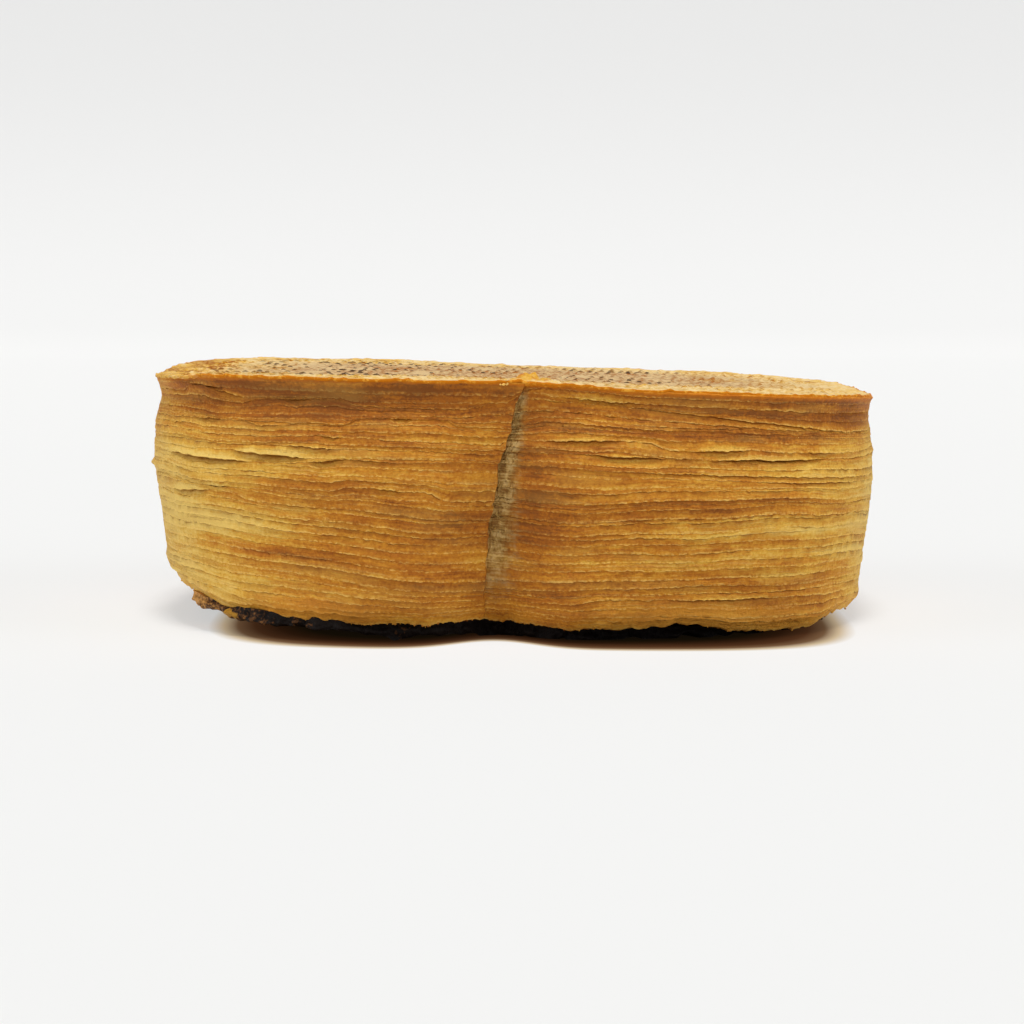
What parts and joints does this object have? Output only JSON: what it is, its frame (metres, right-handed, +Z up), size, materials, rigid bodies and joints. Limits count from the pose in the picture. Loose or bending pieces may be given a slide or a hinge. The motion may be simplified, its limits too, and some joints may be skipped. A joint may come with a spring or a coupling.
{
  "type": "custard tart",
  "caption": "Deep custard tart turned out base up: a ring of flaky puff pastry lapped at a seam, a flat pastry base on top and a custard filling with a browned skin underneath.",
  "frame": {"origin": "on the surface the tart stands on, under the middle of its outline", "axes": "+Z up, out of the pastry base; -Y towards the lapped seam; X across the seam side"},
  "size_m": [0.1832, 0.1728, 0.0625],
  "materials": {
    "wall_pastry": "baked puff pastry, golden brown with paler leaf edges",
    "base_pastry": "baked pastry sheet with a grid of small browned pimples, slightly shiny",
    "custard": "baked custard with a dark, scorched, slightly shiny skin"
  },
  "bodies": {
    "root": {"pastry_wall": "wall_pastry", "pastry_base": "base_pastry", "custard": "custard"}
  },
  "joints": []
}
